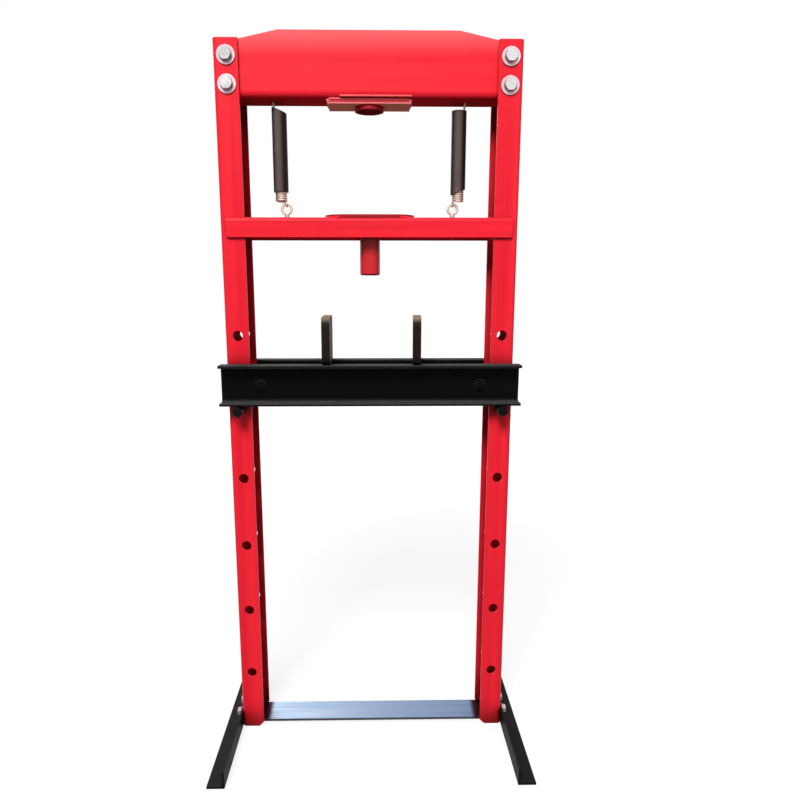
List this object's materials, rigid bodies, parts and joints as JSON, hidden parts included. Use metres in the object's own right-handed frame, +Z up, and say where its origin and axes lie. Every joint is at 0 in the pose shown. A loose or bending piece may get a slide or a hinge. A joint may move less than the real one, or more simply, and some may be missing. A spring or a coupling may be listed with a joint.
{
  "type": "h-frame workshop press",
  "caption": "H-frame workshop press: red channel uprights and folded head, crossbar hung on two sleeved springs over an adjustable pinned bed, angle feet; its bottle jack is absent.",
  "frame": {"origin": "on the floor, in the middle between the two uprights and between front and back", "axes": "+X to the right as seen from the front, -Y to the front, +Z up"},
  "size_m": [0.584, 0.44, 1.2855],
  "materials": {
    "red_paint": "smooth gloss red paint",
    "black_paint": "satin black paint",
    "zinc": "bright zinc plating",
    "zinc_bar": "bluish zinc-plated flat bar",
    "spring_wire": "dull zinc-plated spring wire",
    "sleeve_rubber": "matt black rubber hose",
    "plate_steel": "dark oiled steel plate",
    "pin_steel": "blackened steel bar"
  },
  "bodies": {
    "frame": {"left_upright": "red_paint", "right_upright": "red_paint", "head_beam": "red_paint", "jack_seat_plate": "red_paint", "ram_cup": "red_paint", "head_bolt_upper_left": "zinc", "head_bolt_upper_right": "zinc", "head_bolt_lower_left": "zinc", "head_bolt_lower_right": "zinc", "head_nut_upper_left": "zinc", "head_nut_upper_right": "zinc", "head_nut_lower_left": "zinc", "head_nut_lower_right": "zinc", "head_washers": "zinc", "left_spring": "spring_wire", "right_spring": "spring_wire", "left_foot": "black_paint", "right_foot": "black_paint", "tie_bar": "zinc_bar", "foot_bolt_front_left": "zinc", "foot_bolt_front_right": "zinc", "foot_bolt_rear_left": "zinc", "foot_bolt_rear_right": "zinc", "foot_nut_front_left": "zinc", "foot_nut_front_right": "zinc", "foot_nut_rear_left": "zinc", "foot_nut_rear_right": "zinc", "foot_washers": "zinc"},
    "crossbar": {"crossbar": "red_paint", "jack_plate": "red_paint", "punch_tube": "red_paint", "left_spring_sleeve": "sleeve_rubber", "right_spring_sleeve": "sleeve_rubber", "left_eye_bolt": "zinc", "right_eye_bolt": "zinc", "left_eye_nut": "zinc", "right_eye_nut": "zinc"},
    "bed": {"front_bed_channel": "black_paint", "rear_bed_channel": "black_paint", "left_bed_spacer": "black_paint", "right_bed_spacer": "black_paint", "left_bed_bolt": "black_paint", "right_bed_bolt": "black_paint", "left_bed_nut": "black_paint", "right_bed_nut": "black_paint", "bed_washers": "black_paint", "left_press_plate": "plate_steel", "right_press_plate": "plate_steel"},
    "left_pin": {"left_support_pin": "pin_steel"},
    "right_pin": {"right_support_pin": "pin_steel"}
  },
  "joints": [
    {"name": "crossbar_slide", "type": "slide", "parent": "frame", "child": "crossbar", "axis": [0, 0, -1], "range_m": [0, 0.11], "stiffness_N_per_m": 1500, "springref_m": -0.06, "deforming": ["left_spring", "right_spring"]},
    {"name": "bed_lift", "type": "slide", "parent": "frame", "child": "bed", "axis": [0, 0, 1], "range_m": [0, 0.025]},
    {"name": "left_pin_pull", "type": "slide", "parent": "frame", "child": "left_pin", "axis": [0, -1, 0], "range_m": [0, 0.19]},
    {"name": "right_pin_pull", "type": "slide", "parent": "frame", "child": "right_pin", "axis": [0, -1, 0], "range_m": [0, 0.19]}
  ]
}
